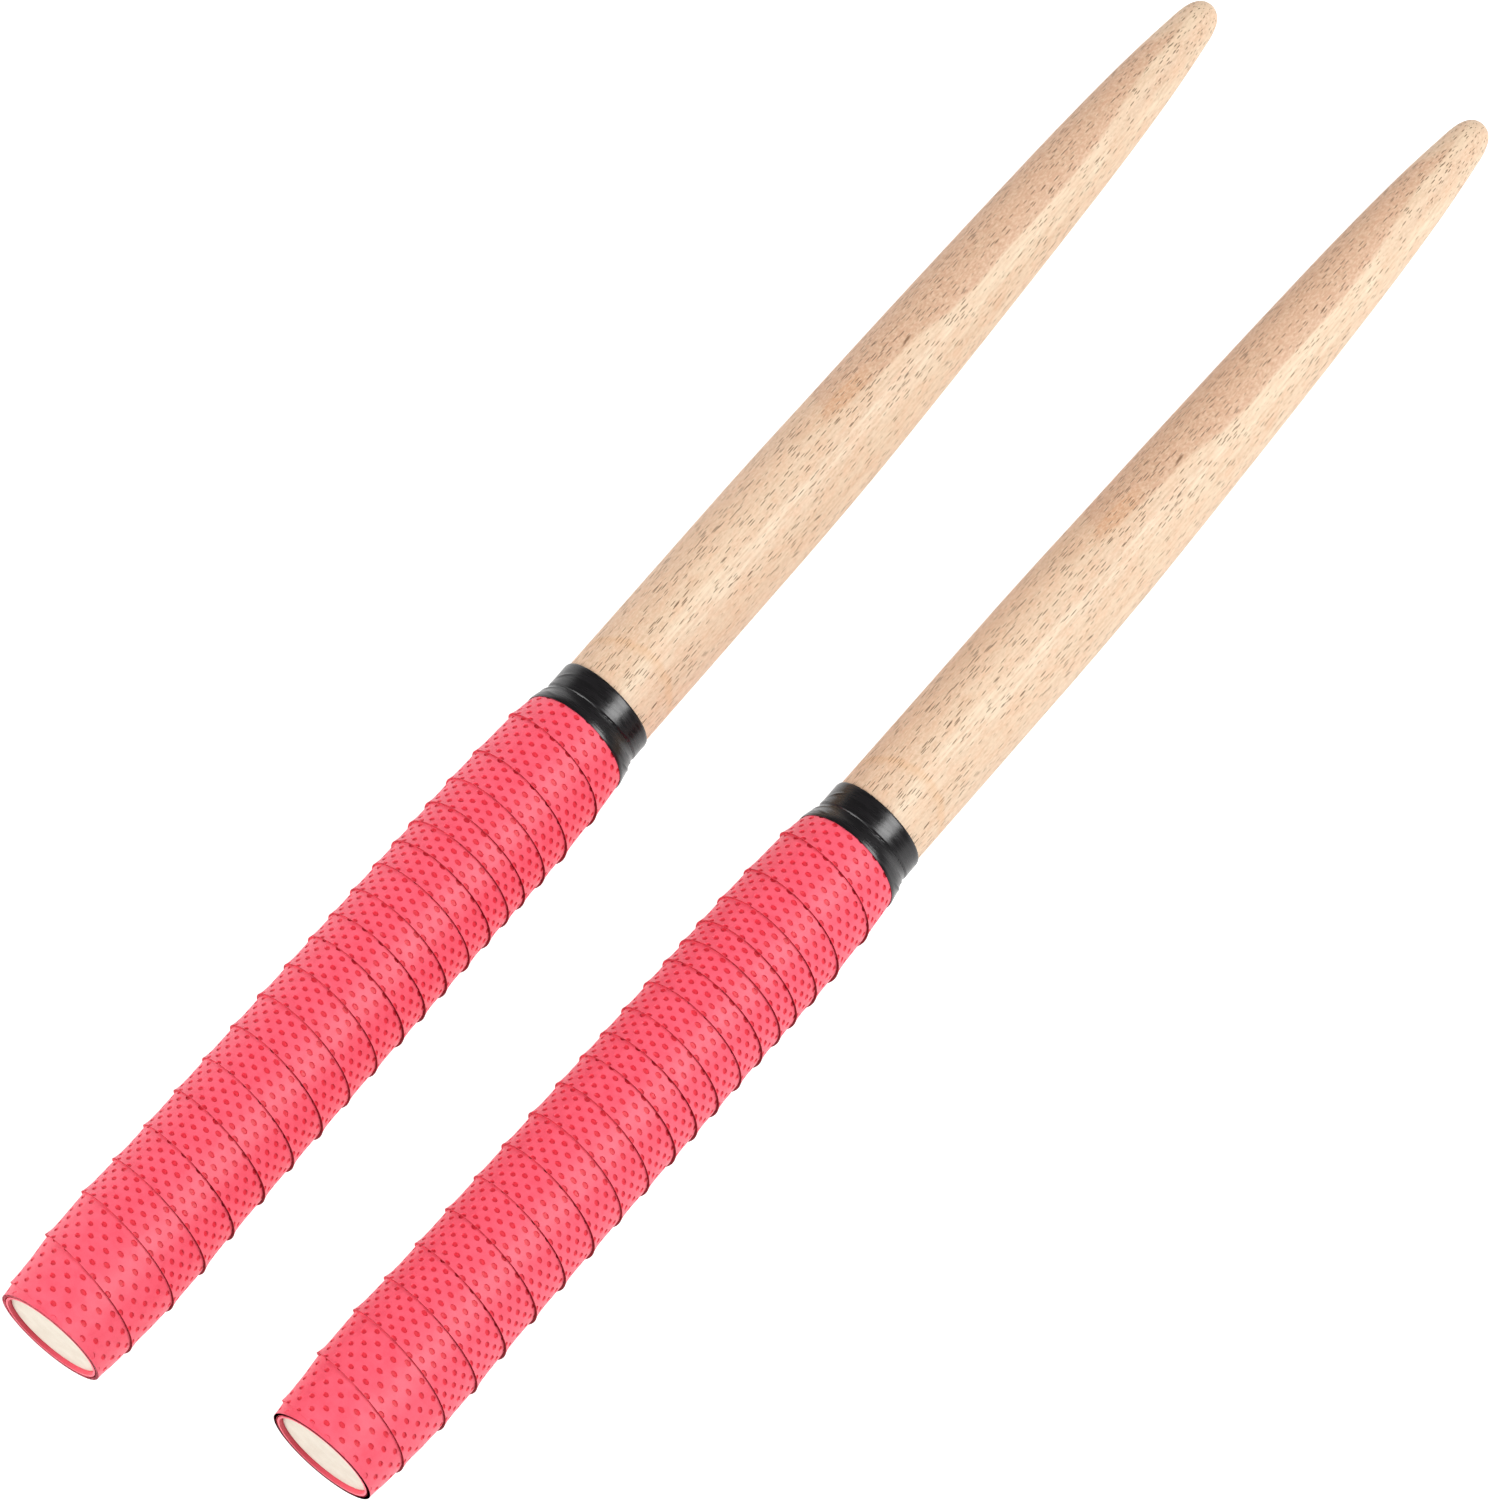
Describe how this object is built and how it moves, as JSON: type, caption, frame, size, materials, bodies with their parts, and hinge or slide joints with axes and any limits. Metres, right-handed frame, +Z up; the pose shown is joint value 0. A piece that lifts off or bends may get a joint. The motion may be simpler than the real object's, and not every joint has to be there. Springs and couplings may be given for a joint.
{
  "type": "focus training sticks",
  "caption": "Pair of short tapered hardwood training sticks with rounded noses and perforated, helically wound red grips closed by black finishing tape.",
  "frame": {"origin": "bottom centre of the pair's bounding box, on the surface they lie on", "axes": "+Y along the left stick from butt to nose, +Z up, the right stick towards +X"},
  "size_m": [0.0798, 0.365, 0.0264],
  "materials": {
    "beech": "sanded, thin clear sealer",
    "grip_tape": "soft matt polyurethane, perforated",
    "finishing_tape": "glossy black vinyl"
  },
  "bodies": {
    "left_stick": {"left_core": "beech", "left_grip_tape": "grip_tape", "left_finishing_tape": "finishing_tape"},
    "right_stick": {"right_core": "beech", "right_grip_tape": "grip_tape", "right_finishing_tape": "finishing_tape"}
  },
  "joints": [
    {"name": "right_stick_lift", "type": "slide", "parent": "left_stick", "child": "right_stick", "axis": [0, 0, 1], "range_m": [0, 0.15]}
  ]
}
